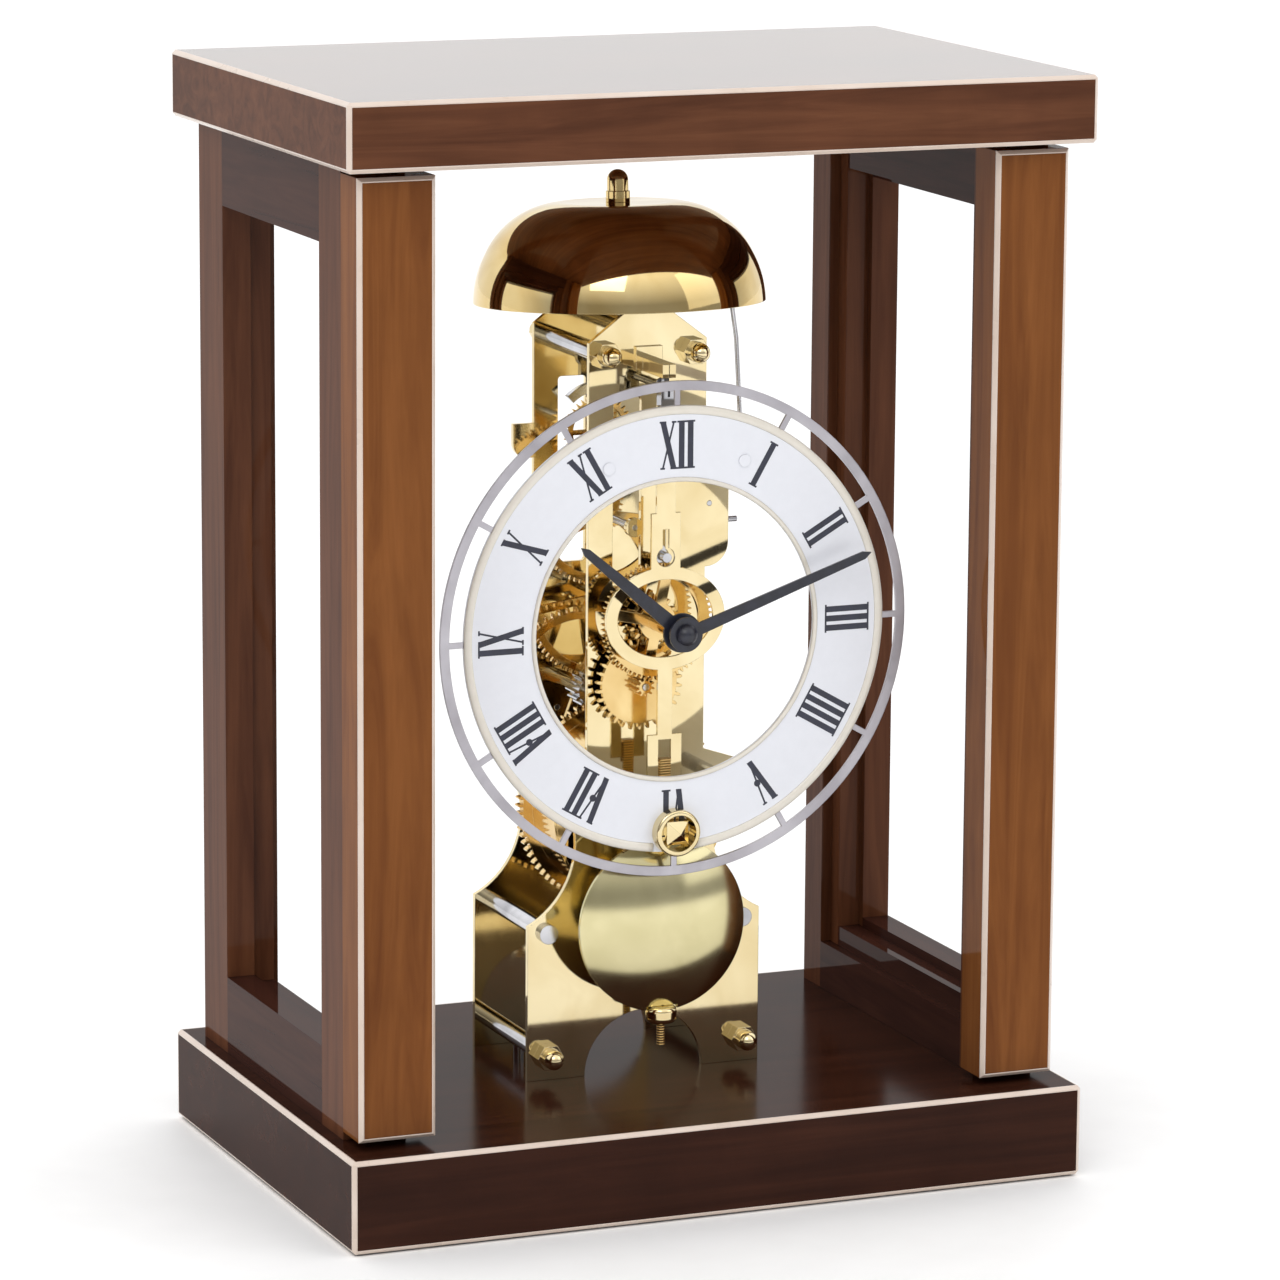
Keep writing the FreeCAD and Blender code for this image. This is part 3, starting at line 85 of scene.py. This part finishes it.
def ramp(tree, factor, stops):
    made = tree.nodes.new("ShaderNodeValToRGB")
    points = made.color_ramp.elements
    while len(points) < len(stops):
        points.new(0.5)
    for point, (position, colour) in zip(points, stops):
        point.position = position
        point.color = colour
    tree.links.new(factor, made.inputs["Fac"])
    return made.outputs["Color"]


def mix(tree, factor, first, second, blend="MIX"):
    made = tree.nodes.new("ShaderNodeMix")
    made.data_type = "RGBA"
    made.blend_type = blend
    ends = [socket for socket in made.inputs if socket.enabled]
    for socket, value in zip(ends, (factor, first, second)):
        if isinstance(value, (float, tuple)):
            socket.default_value = value
        else:
            tree.links.new(value, socket)
    return [socket for socket in made.outputs if socket.enabled][0]


def spread(tree, factor, low, high):
    """Map a 0 to 1 value to a range."""
    made = node(tree, "ShaderNodeMapRange", **{"To Min": low, "To Max": high})
    tree.links.new(factor, made.inputs["Value"])
    return made.outputs["Result"]


def bump(tree, shader, height, strength, distance, bevel=0.0):
    """Surface relief, with softened edges where a bevel radius is given."""
    made = node(tree, "ShaderNodeBump", Strength=strength, Distance=distance)
    tree.links.new(height, made.inputs["Height"])
    if bevel:
        edge = node(tree, "ShaderNodeBevel", Radius=bevel)
        edge.samples = 4
        tree.links.new(edge.outputs["Normal"], made.inputs["Normal"])
    tree.links.new(made.outputs["Normal"], shader.inputs["Normal"])


# ---------------------------------------------------------------- materials
def facing_up(tree, low, high):
    """Value that is low on upright faces and high on faces that look up."""
    coords = tree.nodes.new("ShaderNodeTexCoord")
    split = tree.nodes.new("ShaderNodeSeparateXYZ")
    tree.links.new(coords.outputs["Normal"], split.inputs["Vector"])
    made = node(tree, "ShaderNodeMapRange",
                **{"From Min": UPRIGHT_Z, "From Max": LEVEL_Z, "To Min": low, "To Max": high})
    tree.links.new(split.outputs["Z"], made.inputs["Value"])
    return made.outputs["Result"]


def lacquered_wood(name, dark, middle, light, grain, mottle=0.35, glossy_top=False, haze=0.04):
    """Stained wood under thin lacquer; grain is the axis that the fibres run along."""
    made, tree, shader = material(name)
    stretch = {"X": (0.06, 1, 1), "Y": (1, 0.06, 1), "Z": (1, 1, 0.06)}[grain]
    fibres = noise(tree, place(tree, stretch), 900.0, detail=5.0, roughness=0.65, distortion=0.4)
    bands = noise(tree, place(tree, stretch), 140.0, distortion=1.4)
    clouds = noise(tree, place(tree), 28.0, detail=3.0, roughness=0.55, distortion=0.3)
    base = ramp(tree, bands, ((0.22, dark), (0.52, middle), (0.82, light)))
    veined = mix(tree, spread(tree, fibres, low=0.0, high=0.45), base, dark)
    tone = ramp(tree, clouds, ((0.25, (0.70, 0.66, 0.62, 1.0)), (0.75, (1.22, 1.20, 1.18, 1.0))))
    tinted = mix(tree, mottle, veined, tone, "MULTIPLY")
    tree.links.new(tinted, shader.inputs["Base Color"])
    tree.links.new(spread(tree, fibres, low=0.30, high=0.48), shader.inputs["Roughness"])
    shader.inputs["Coat Weight"].default_value = 0.4
    shader.inputs["Specular IOR Level"].default_value = 0.0
    if glossy_top:
        tree.links.new(facing_up(tree, low=0.4, high=1.0), shader.inputs["Coat Weight"])
        tree.links.new(facing_up(tree, low=0.0, high=1.0), shader.inputs["Specular IOR Level"])
    shader.inputs["Coat Roughness"].default_value = haze
    shader.inputs["Coat IOR"].default_value = 1.3
    bump(tree, shader, fibres, strength=0.06, distance=0.0002, bevel=0.0004)
    return made


def cream_strip(name):
    """Pale lacquered edging with faint darker wear."""
    made, tree, shader = material(name)
    patches = noise(tree, place(tree), 60.0, detail=3.0, roughness=0.5)
    colour = ramp(tree, patches, ((0.25, srgb(208, 188, 172)), (0.55, srgb(216, 198, 184)),
                                  (0.85, srgb(224, 208, 196))))
    tree.links.new(colour, shader.inputs["Base Color"])
    tree.links.new(spread(tree, patches, low=0.22, high=0.36), shader.inputs["Roughness"])
    shader.inputs["Coat Weight"].default_value = 0.5
    shader.inputs["Coat Roughness"].default_value = 0.06
    bump(tree, shader, patches, strength=0.06, distance=0.0002, bevel=0.0003)
    return made


def metal(name, deep, bright, rough, brush=(1, 1, 1), brush_scale=600.0, strength=0.03):
    """Polished metal with fine finishing marks, slight tone changes and rounded edges."""
    made, tree, shader = material(name)
    marks = noise(tree, place(tree, brush), brush_scale, detail=5.0, roughness=0.7)
    stains = noise(tree, place(tree), 55.0, detail=3.0, roughness=0.5, distortion=0.6)
    colour = ramp(tree, stains, ((0.32, deep), (0.68, bright)))
    tree.links.new(colour, shader.inputs["Base Color"])
    shader.inputs["Metallic"].default_value = 1.0
    tree.links.new(spread(tree, marks, rough[0], rough[1]), shader.inputs["Roughness"])
    bump(tree, shader, marks, strength, distance=0.0001, bevel=0.00025)
    return made


def painted(name, first, second, rough, coat):
    """Smooth enamel or paint with a faint unevenness under a clear coat."""
    made, tree, shader = material(name)
    grain = noise(tree, place(tree), 350.0)
    colour = ramp(tree, grain, ((0.35, first), (0.65, second)))
    tree.links.new(colour, shader.inputs["Base Color"])
    tree.links.new(spread(tree, grain, rough[0], rough[1]), shader.inputs["Roughness"])
    shader.inputs["Coat Weight"].default_value = coat
    shader.inputs["Coat Roughness"].default_value = 0.08
    bump(tree, shader, grain, strength=0.03, distance=0.0001, bevel=0.00015)
    return made


def felt(name):
    """Dark matt felt."""
    made, tree, shader = material(name)
    fuzz = noise(tree, place(tree), 2400.0, detail=6.0, roughness=0.8)
    colour = ramp(tree, fuzz, ((0.3, srgb(26, 26, 28)), (0.7, srgb(70, 68, 66))))
    tree.links.new(colour, shader.inputs["Base Color"])
    shader.inputs["Roughness"].default_value = 0.95
    shader.inputs["Sheen Weight"].default_value = 0.4
    bump(tree, shader, fuzz, strength=0.6, distance=0.0004)
    return made


def threaded(name, pitch):
    """Brass rod with a fine thread along Z, with painted shade darkening the thread's grooves."""
    made, tree, shader = material(name)
    coords = tree.nodes.new("ShaderNodeTexCoord")
    wave = node(tree, "ShaderNodeTexWave", Scale=2 * math.pi / (WAVE_RATE * pitch))
    wave.bands_direction = "Z"
    tree.links.new(coords.outputs["Object"], wave.inputs["Vector"])
    shader.inputs["Metallic"].default_value = 1.0
    # Painted shade: the colour runs from dark in the grooves to plain brass on the crests.
    colour = ramp(tree, wave.outputs["Fac"], ((0.2, srgb(150, 116, 66)), (0.8, srgb(226, 192, 128))))
    tree.links.new(colour, shader.inputs["Base Color"])
    shader.inputs["Roughness"].default_value = 0.25
    bump(tree, shader, wave.outputs["Fac"], strength=0.5, distance=0.0002)
    return made


def dress(materials):
    """Give each CAD node its material."""
    for made, names in materials:
        for name in names:
            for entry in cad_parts[name].material_slots:
                entry.material = made


def build_materials():
    pilaster_wood = lacquered_wood("pilaster_wood", srgb(98, 54, 24), srgb(128, 78, 38), srgb(146, 92, 48),
                                   "Z")
    stile_wood = lacquered_wood("stile_wood", srgb(70, 38, 24), srgb(98, 60, 40), srgb(114, 72, 48), "Z")
    rail_wood = lacquered_wood("rail_wood", srgb(46, 24, 18), srgb(64, 36, 28), srgb(78, 46, 34), "Y")
    top_wood = lacquered_wood("top_wood", srgb(70, 40, 26), srgb(98, 60, 40), srgb(116, 74, 50), "X",
                              mottle=0.7, glossy_top=True)
    base_wood = lacquered_wood("base_wood", srgb(42, 21, 14), srgb(56, 30, 20), srgb(68, 38, 26), "X",
                               mottle=0.6, haze=0.16)
    strips = cream_strip("cream_strip")
    brass = metal("polished_brass", srgb(222, 202, 154), srgb(238, 222, 180), (0.03, 0.09),
                  brush=(1, 1, 0.2))
    bob_brass = metal("satin_brass", srgb(208, 198, 152), srgb(226, 216, 172), (0.12, 0.18),
                      brush_scale=300.0)
    wheel_brass = metal("wheel_brass", srgb(208, 172, 108), srgb(236, 208, 150), (0.06, 0.16))
    bell_brass = metal("bell_brass", srgb(214, 184, 122), srgb(236, 214, 160), (0.03, 0.07), brush=(1, 1, 4),
                       brush_scale=260.0, strength=0.01)
    steel = metal("polished_steel", srgb(168, 168, 172), srgb(212, 212, 216), (0.08, 0.20))
    dark_steel = metal("dark_steel", srgb(70, 70, 76), srgb(112, 112, 120), (0.22, 0.40))
    silver = metal("silver_ring", srgb(168, 164, 170), srgb(196, 193, 199), (0.26, 0.42))
    enamel = painted("dial_enamel", srgb(230, 232, 239), srgb(232, 234, 241), (0.18, 0.22), coat=0.2)
    hands = painted("blued_hands", srgb(20, 21, 32), srgb(32, 34, 48), (0.32, 0.45), coat=0.2)
    pads = felt("felt")
    thread = threaded("threaded_brass", pitch=0.0007)
    dress((
        (pilaster_wood, ("pilasters",)),
        (stile_wood, ("left_front_stile", "right_front_stile", "left_back_stile", "right_back_stile")),
        (rail_wood, ("lower_rails", "upper_rails")),
        (top_wood, ("top_slab",)),
        (base_wood, ("base_slab",)),
        (strips, ("base_edge_inlay", "top_edge_inlay", "pilaster_inlays")),
        (pads, ("base_feet",)),
        (brass, ("front_plate", "back_plate", "acorn_nuts", "suspension_cock", "winding_eyelet",
                 "barrel_arbor", "pendulum_leader", "rating_nut", "bell_post", "hammer_head")),
        (bob_brass, ("pendulum_bob",)),
        (thread, ("pendulum_hook",)),
        (wheel_brass, ("great_wheel", "barrel_cover", "ratchet_wheel", "second_wheel", "centre_wheel",
                       "third_wheel", "escape_wheel", "cannon_pinion", "minute_wheel", "hour_wheel")),
        (bell_brass, ("bell", "bell_nut")),
        (steel, ("base_screws", "plate_pillars", "plate_pins", "second_arbor", "centre_arbor", "third_arbor",
                 "escape_arbor", "anchor", "hammer_arbor", "hammer_wire", "suspension_clamp", "click",
                 "crutch", "front_plate_studs")),
        (dark_steel, ("suspension_spring", "click_spring", "mainspring")),
        (silver, ("dial_ring",)),
        (enamel, ("dial_plate", "dial_screws")),
        (hands, ("minute_hand", "hour_hand", "hand_nut")),
    ))


# ---------------------------------------------------------------- mesh helpers
def mesh_object(name, bm, made, body):
    """Turn a bmesh into a piece that rides on a body."""
    bmesh.ops.recalc_face_normals(bm, faces=bm.faces)
    mesh = bpy.data.meshes.new(name)
    bm.to_mesh(mesh)
    bm.free()
    piece = bpy.data.objects.new(name, mesh)
    bpy.context.scene.collection.objects.link(piece)
    mesh.materials.append(made)
    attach(piece, body)
    return piece


def add_prism(bm, outline, front, back):
    """Closed prism between two Y planes; outline is a list of (x, z)."""
    near = [bm.verts.new((x, front, z)) for x, z in outline]
    far = [bm.verts.new((x, back, z)) for x, z in outline]
    bm.faces.new(near)
    bm.faces.new(far[::-1])
    count = len(outline)
    for index in range(count):
        after = (index + 1) % count
        bm.faces.new((near[index], far[index], far[after], near[after]))


# ---------------------------------------------------------------- dial
NUMERALS = ("I", "II", "III", "IIII", "V", "VI", "VII", "VIII", "IX", "X", "XI", "XII")
NUMERAL_IN = 43.5 * MM
NUMERAL_OUT = 56.4 * MM
THICK = 1.60 * MM
THIN = 0.50 * MM
SERIF = 0.48 * MM
I_ADVANCE = 2.55 * MM
V_ADVANCE = 4.9 * MM
X_ADVANCE = 5.1 * MM
STROKE_INSET = 0.95 * MM
V_FOOT_SHIFT = 0.1 * MM
V_RIGHT_INSET = 0.65 * MM
WIDE_SERIF = 1.9 * MM
NARROW_SERIF = 1.3 * MM
KNOB = 0.95 * MM
KNOB_SIDES = 16
INK = 0.05 * MM
INK_LAYER = 0.002  # mm that each stroke stands above the one before it
HOUR_DEGREES = 30
INNER_RIM = (40.0 * MM, 41.3 * MM)
OUTER_RIM_WIDTH = 2.4 * MM
RIM_RISE = 0.55 * MM
RIM_CLEARANCE = 0.3 * MM
RIM_STEPS = 192
RIM_POINTS = 9


def glyph_strokes(glyph, left):
    """Closed outlines (u, v) of one letter starting at u = left; v runs from its foot to its head."""
    low = NUMERAL_IN
    high = NUMERAL_OUT
    middle = (low + high) / 2
    if glyph == "I":
        centre = left + I_ADVANCE / 2
        return [bar(centre, low, centre, high, THICK), serif(centre, low, I_ADVANCE),
                serif(centre, high, I_ADVANCE)]
    if glyph == "V":
        foot = left + V_ADVANCE / 2 + V_FOOT_SHIFT
        head_left = left + STROKE_INSET
        head_right = left + V_ADVANCE - V_RIGHT_INSET
        knob_u = (foot + head_right) / 2
        return [bar(foot, low, head_left, high, THICK), bar(foot, low, head_right, high, THIN),
                serif(head_left, high, WIDE_SERIF), serif(head_right, high, NARROW_SERIF),
                knob(knob_u, middle)]
    left_u = left + STROKE_INSET
    right_u = left + X_ADVANCE - STROKE_INSET
    return [bar(right_u, low, left_u, high, THICK), bar(left_u, low, right_u, high, THIN),
            serif(left_u, high, WIDE_SERIF), serif(right_u, high, NARROW_SERIF),
            serif(left_u, low, NARROW_SERIF), serif(right_u, low, WIDE_SERIF)]


def bar(u0, v0, u1, v1, width):
    """Slanted stroke between two heights."""
    half = width / 2
    return [(u0 - half, v0), (u0 + half, v0), (u1 + half, v1), (u1 - half, v1)]


def serif(centre, v, width):
    """Crossbar at the foot or the head of a stroke."""
    half = width / 2
    inward = SERIF if v < (NUMERAL_IN + NUMERAL_OUT) / 2 else -SERIF
    low, high = sorted((v, v + inward))
    return [(centre - half, low), (centre + half, low), (centre + half, high), (centre - half, high)]


def knob(u, v):
    """Round swelling on a thin stroke."""
    angles = [2 * math.pi * step / KNOB_SIDES for step in range(KNOB_SIDES)]
    return [(u + KNOB * math.cos(angle), v + KNOB * math.sin(angle)) for angle in angles]


def build_numerals(centre, dial_front):
    ink = painted("numeral_ink", srgb(24, 26, 44), srgb(36, 39, 60), (0.30, 0.45), coat=0.3)
    advance = {"I": I_ADVANCE, "V": V_ADVANCE, "X": X_ADVANCE}
    for hour, text in enumerate(NUMERALS, start=1):
        width = sum(advance[glyph] for glyph in text)
        left = -width / 2
        turn = math.radians(HOUR_DEGREES * hour)
        bm = bmesh.new()
        layer = 0
        for glyph in text:
            for outline in glyph_strokes(glyph, left):
                placed = [(centre[0] + u * math.cos(turn) + v * math.sin(turn),
                           centre[2] - u * math.sin(turn) + v * math.cos(turn)) for u, v in outline]
                add_prism(bm, placed, dial_front - INK - layer * INK_LAYER * MM, dial_front)
                layer += 1
            left += advance[glyph]
        mesh_object("numeral_%02d" % hour, bm, ink, "case")


def build_rims(centre, dial_front, dial_radius, eyelet):
    """Half-round rims of the chapter ring; the outer one stops each side of the eyelet."""
    cream = painted("rim_enamel", srgb(226, 220, 208), srgb(230, 224, 213), (0.14, 0.20), coat=0.5)
    away = centre[2] - eyelet[0]
    reach = eyelet[1] + RIM_CLEARANCE
    cut_at = dial_radius - OUTER_RIM_WIDTH
    gap = math.acos((away ** 2 + cut_at ** 2 - reach ** 2) / (2 * away * cut_at))
    for name, inner, outer, blocked in (("dial_inner_rim", INNER_RIM[0], INNER_RIM[1], 0.0),
                                        ("dial_outer_rim", cut_at, dial_radius, gap)):
        bm = bmesh.new()
        sweep = 2 * math.pi - 2 * blocked
        rings = []
        for step in range(RIM_STEPS + 1 if blocked else RIM_STEPS):
            angle = math.pi + blocked + sweep * step / RIM_STEPS
            ring = []
            for turn in range(RIM_POINTS):
                lean = math.pi * turn / (RIM_POINTS - 1)
                radius = (inner + outer) / 2 - (outer - inner) / 2 * math.cos(lean)
                depth = dial_front - RIM_RISE * math.sin(lean)
                ring.append(bm.verts.new((centre[0] + radius * math.sin(angle), depth,
                                          centre[2] + radius * math.cos(angle))))
            rings.append(ring)
        following = rings[1:] if blocked else rings[1:] + rings[:1]
        for first, second in zip(rings, following):
            for index in range(RIM_POINTS):
                after = (index + 1) % RIM_POINTS
                bm.faces.new((first[index], first[after], second[after], second[index]))
        if blocked:
            bm.faces.new(rings[0])
            bm.faces.new(rings[-1][::-1])
        piece = mesh_object(name, bm, cream, "case")
        for face in piece.data.polygons:
            face.use_smooth = True


def build_dial():
    low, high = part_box("dial_plate")
    radius = (high[0] - low[0]) / 2
    centre = ((low[0] + high[0]) / 2, low[1], high[2] - radius)
    eyelet_low, eyelet_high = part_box("winding_eyelet")
    eyelet = ((eyelet_low[2] + eyelet_high[2]) / 2, (eyelet_high[0] - eyelet_low[0]) / 2)
    build_numerals(centre, low[1])
    build_rims(centre, low[1], radius, eyelet)


# ---------------------------------------------------------------- camera, floor, light
AZIMUTH = -22.554
ELEVATION = 11.252
ROLL = 0.388
FOCAL = 6155.3  # focal length, in the same unit as IMAGE_WIDTH
IMAGE_WIDTH = 1280
SENSOR_WIDTH = 36.0
CAMERA_AT = Vector((-0.62585, -1.51762, 0.46926))
CLIP = (0.01, 50.0)
FLOOR_HALF = 6.0
SUBJECT = (0.0, 0.0, 0.15)
FRONT_GLOW = 0.35
BACK_GLOW = 1.0
TOP_GLOW = 1.3


def build_camera():
    data = bpy.data.cameras.new("camera")
    data.sensor_width = SENSOR_WIDTH
    data.lens = FOCAL / IMAGE_WIDTH * SENSOR_WIDTH
    camera = bpy.data.objects.new("camera", data)
    azimuth = math.radians(AZIMUTH)
    elevation = math.radians(ELEVATION)
    roll = math.radians(ROLL)
    back = Vector((math.sin(azimuth) * math.cos(elevation), -math.cos(azimuth) * math.cos(elevation),
                   math.sin(elevation)))
    right = (-back).cross(Vector((0, 0, 1))).normalized()
    up = back.cross(right)
    tilted_right = right * math.cos(roll) + up * math.sin(roll)
    tilted_up = up * math.cos(roll) - right * math.sin(roll)
    turn = Matrix((tilted_right, tilted_up, back)).transposed().to_4x4()
    camera.matrix_world = Matrix.Translation(CAMERA_AT) @ turn
    data.clip_start, data.clip_end = CLIP
    bpy.context.scene.collection.objects.link(camera)
    bpy.context.scene.camera = camera


def build_floor():
    made, tree, shader = material("floor")
    speckle = noise(tree, place(tree), 60.0, detail=2.0, roughness=0.5)
    colour = ramp(tree, speckle, ((0.3, (0.93, 0.93, 0.93, 1.0)), (0.7, (0.95, 0.95, 0.95, 1.0))))
    tree.links.new(colour, shader.inputs["Base Color"])
    shader.inputs["Roughness"].default_value = 0.6
    bm = bmesh.new()
    signs = ((-1, -1), (1, -1), (1, 1), (-1, 1))
    bm.faces.new([bm.verts.new((x * FLOOR_HALF, y * FLOOR_HALF, 0.0)) for x, y in signs])
    mesh = bpy.data.meshes.new("floor")
    bm.to_mesh(mesh)
    bm.free()
    floor = bpy.data.objects.new("floor", mesh)
    mesh.materials.append(made)
    bpy.context.scene.collection.objects.link(floor)


def area_light(name, at, size, power):
    """Square lamp turned towards the clock."""
    data = bpy.data.lights.new(name, "AREA")
    data.shape = "RECTANGLE"
    data.size = size
    data.size_y = size
    data.energy = power
    lamp = bpy.data.objects.new(name, data)
    lamp.location = at
    lamp.rotation_euler = (Vector(SUBJECT) - Vector(at)).to_track_quat("-Z", "Y").to_euler()
    bpy.context.scene.collection.objects.link(lamp)


def build_light():
    """Soft studio: bright overhead and behind, dimmer low down in front."""
    world = bpy.data.worlds.new("studio")
    bpy.context.scene.world = world
    world.use_nodes = True
    tree = world.node_tree
    coords = tree.nodes.new("ShaderNodeTexCoord")
    split = tree.nodes.new("ShaderNodeSeparateXYZ")
    tree.links.new(coords.outputs["Generated"], split.inputs["Vector"])
    low = node(tree, "ShaderNodeMapRange",
               **{"From Min": -0.3, "From Max": 0.3, "To Min": FRONT_GLOW, "To Max": BACK_GLOW})
    tree.links.new(split.outputs["Y"], low.inputs["Value"])
    rising = node(tree, "ShaderNodeMapRange", **{"From Min": 0.15, "From Max": 0.6})
    tree.links.new(split.outputs["Z"], rising.inputs["Value"])
    blend = tree.nodes.new("ShaderNodeMix")
    tree.links.new(rising.outputs["Result"], blend.inputs[0])
    tree.links.new(low.outputs["Result"], blend.inputs[2])
    blend.inputs[3].default_value = TOP_GLOW
    background = tree.nodes["Background"]
    background.inputs["Color"].default_value = (1.0, 1.0, 1.0, 1.0)
    tree.links.new(blend.outputs[0], background.inputs["Strength"])
    area_light("key", (-0.9, -1.4, 1.5), size=1.0, power=6.0)
    area_light("fill", (1.4, -1.2, 0.9), size=1.2, power=3.0)
    bpy.context.scene.view_settings.view_transform = "Standard"


build_camera()
build_materials()
build_dial()
build_floor()
build_light()
